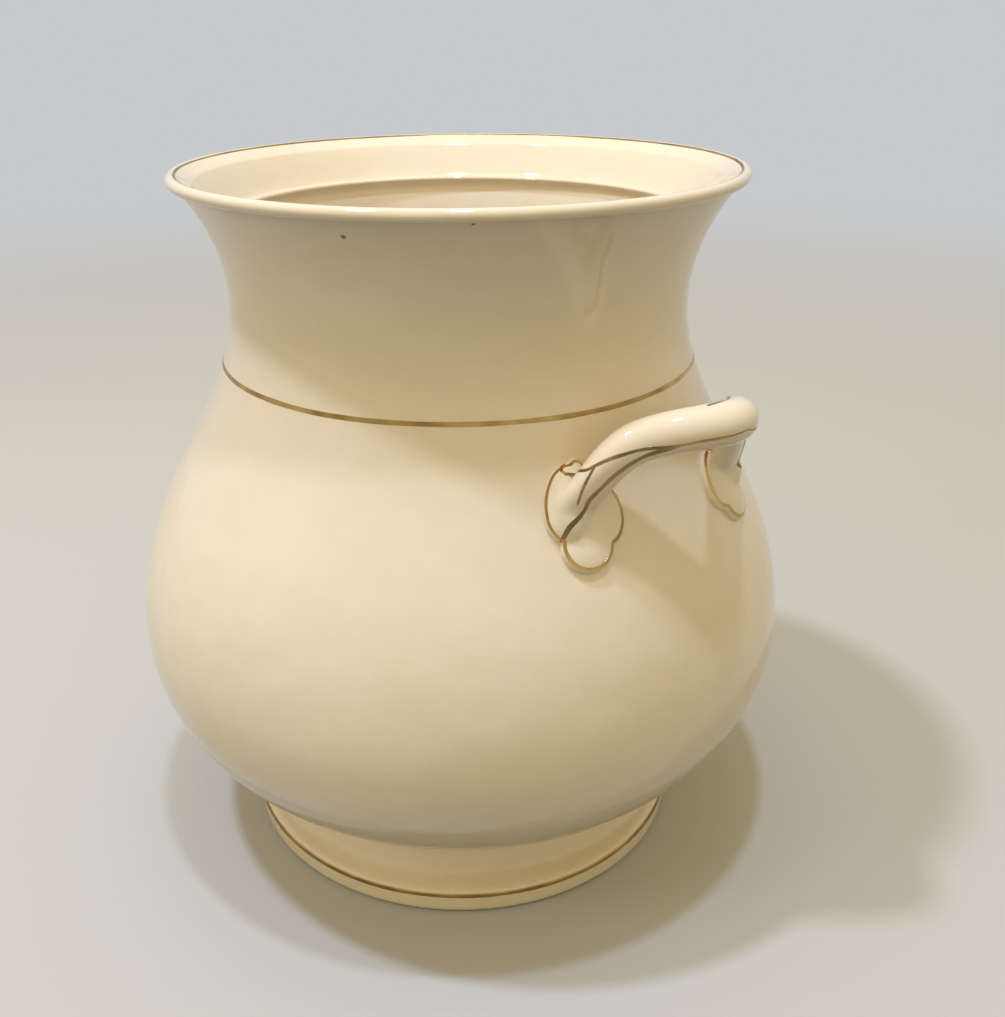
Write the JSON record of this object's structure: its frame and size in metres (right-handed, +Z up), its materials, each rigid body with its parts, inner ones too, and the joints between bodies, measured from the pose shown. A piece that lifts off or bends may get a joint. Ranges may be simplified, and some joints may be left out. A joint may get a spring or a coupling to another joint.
{
  "type": "slop pail",
  "caption": "Footed baluster pail in cream glazed pottery with a waisted neck, a lid ledge inside the mouth, loop handles on leaf sprigs and gilt lines.",
  "frame": {"origin": "centre of the foot's underside, on the surface that the pail stands on", "axes": "+Z up along the pail's axis, the handles on +X and -X"},
  "size_m": [0.2966, 0.2894, 0.3003],
  "materials": {
    "glaze": "glossy cream lead glaze",
    "gilt": "slightly worn burnished gilding"
  },
  "bodies": {
    "root": {"foot_ring": "glaze", "bowl": "glaze", "neck": "glaze", "lip": "glaze", "lid_ledge": "glaze", "grip_right": "glaze", "grip_left": "glaze", "leaf_right_front": "glaze", "leaf_right_back": "glaze", "leaf_left_front": "glaze", "leaf_left_back": "glaze", "gilt_lip_line": "gilt", "gilt_neck_line": "gilt", "gilt_foot_line": "gilt", "gilt_leaf_line_right_front": "gilt", "gilt_leaf_line_right_back": "gilt", "gilt_leaf_line_left_front": "gilt", "gilt_leaf_line_left_back": "gilt", "gilt_vein_upper_right_front": "gilt", "gilt_vein_upper_right_back": "gilt", "gilt_vein_upper_left_front": "gilt", "gilt_vein_upper_left_back": "gilt", "gilt_vein_branch_right_front": "gilt", "gilt_vein_branch_right_back": "gilt", "gilt_vein_branch_left_front": "gilt", "gilt_vein_branch_left_back": "gilt", "gilt_vein_lower_right_front": "gilt", "gilt_vein_lower_right_back": "gilt", "gilt_vein_lower_left_front": "gilt", "gilt_vein_lower_left_back": "gilt"}
  },
  "joints": []
}
